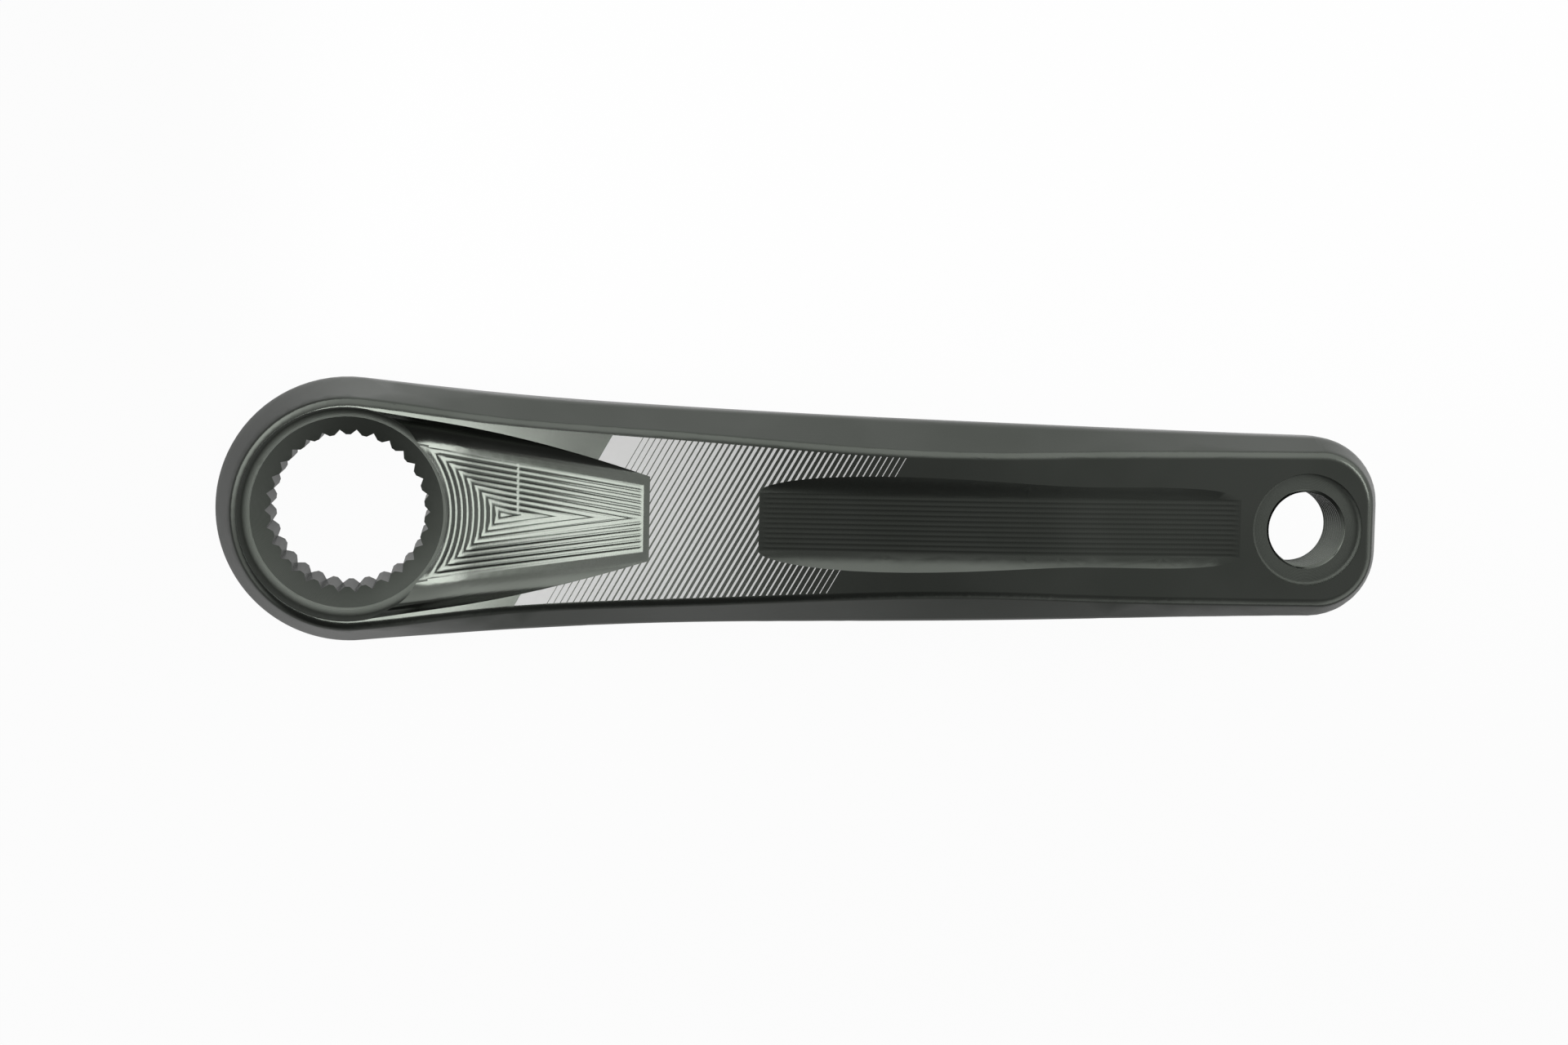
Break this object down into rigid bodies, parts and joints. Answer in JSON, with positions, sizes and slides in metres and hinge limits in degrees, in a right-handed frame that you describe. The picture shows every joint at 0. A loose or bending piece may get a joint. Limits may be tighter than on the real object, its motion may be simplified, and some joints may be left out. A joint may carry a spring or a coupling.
{
  "type": "bicycle crank arm",
  "caption": "One-piece machined crank arm: splined spindle bore in a round end, flared tapering arm with a pocket and a long shallow trough, and a threaded pedal hole with a round seat.",
  "frame": {"origin": "on the spindle axis, at the inner face of the boss that points to the bicycle's frame", "axes": "+X from the spindle axis to the pedal axis, +Z along the spindle axis towards the outer side"},
  "size_m": [0.2079, 0.0474, 0.0335],
  "materials": {
    "anodised_alloy": "satin, dark olive-grey anodised"
  },
  "bodies": {
    "root": {"crank_arm": "anodised_alloy"}
  },
  "joints": []
}
